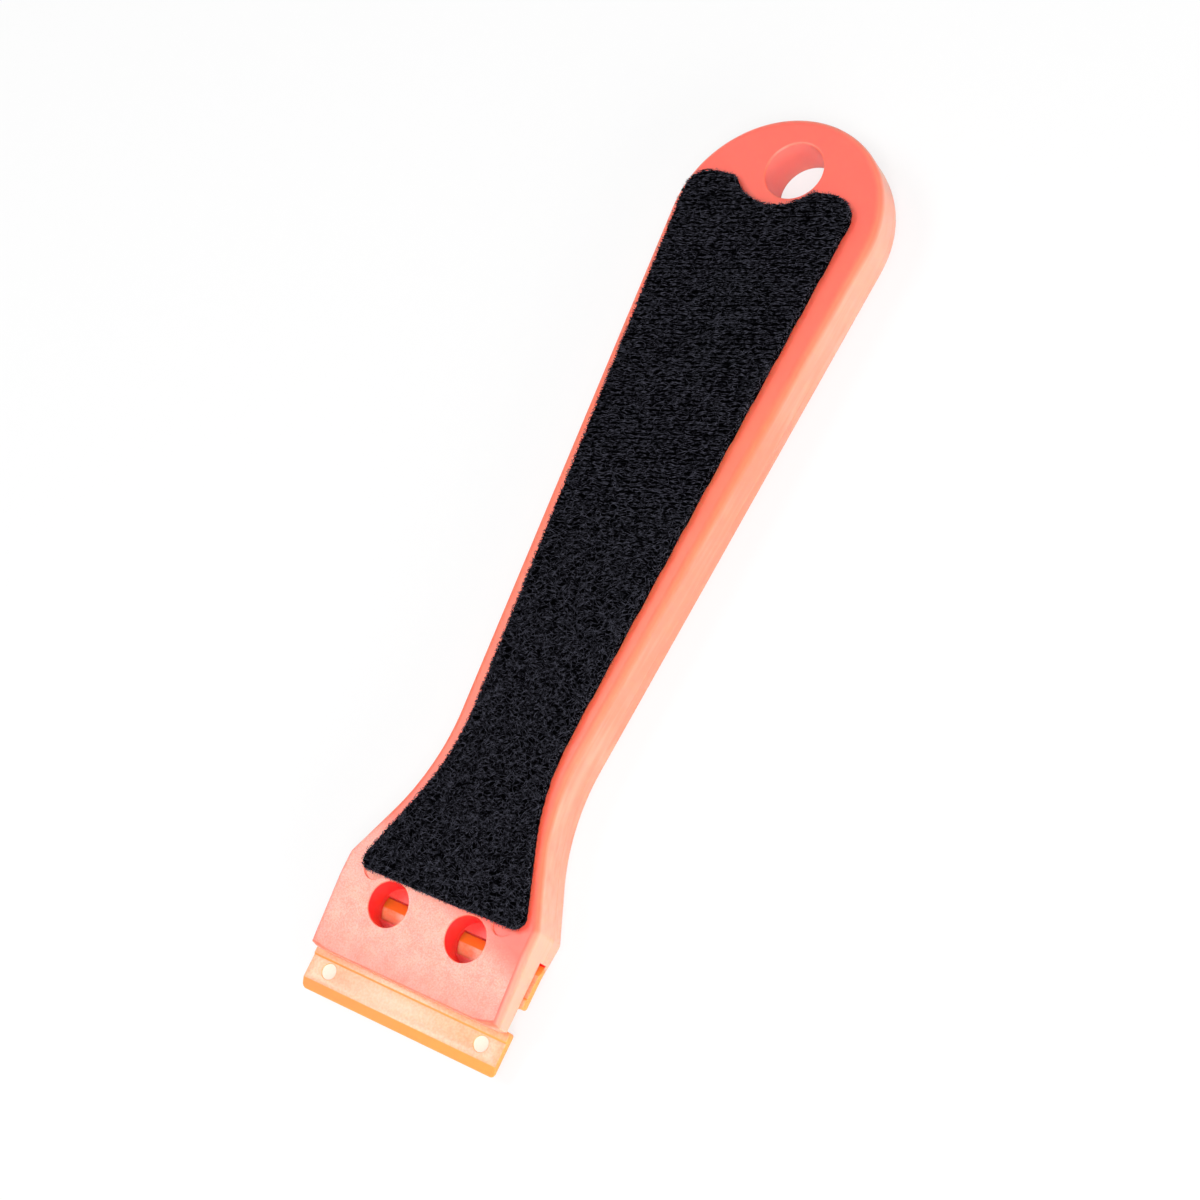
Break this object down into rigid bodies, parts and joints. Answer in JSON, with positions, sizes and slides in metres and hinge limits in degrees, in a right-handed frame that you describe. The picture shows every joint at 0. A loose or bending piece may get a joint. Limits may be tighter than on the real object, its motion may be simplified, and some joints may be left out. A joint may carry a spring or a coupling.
{
  "type": "long-handle scraper",
  "caption": "Flat moulded long-handle scraper with a push-in double-edged plastic blade, a stuck-on fabric pad along the grip and a hanging hole at the far end.",
  "frame": {"origin": "under the middle of the whole length, on the plane of the flat back", "axes": "+X across the width, +Y from the blade to the hanging hole, +Z out of the padded front"},
  "size_m": [0.039, 0.1638, 0.0104],
  "materials": {
    "handle": "satin moulded polypropylene, fine grain on the head",
    "pad_adhesive": "clear adhesive film",
    "felt_pad": "black knitted loop pile",
    "scraper_blade": "semi-gloss amber moulded plastic"
  },
  "bodies": {
    "grip": {"handle": "handle", "pad_adhesive": "pad_adhesive", "felt_pad": "felt_pad"},
    "blade": {"scraper_blade": "scraper_blade"}
  },
  "joints": [
    {"name": "blade_pull_out", "type": "slide", "parent": "grip", "child": "blade", "axis": [0, -1, 0], "range_m": [0, 0.015]}
  ]
}
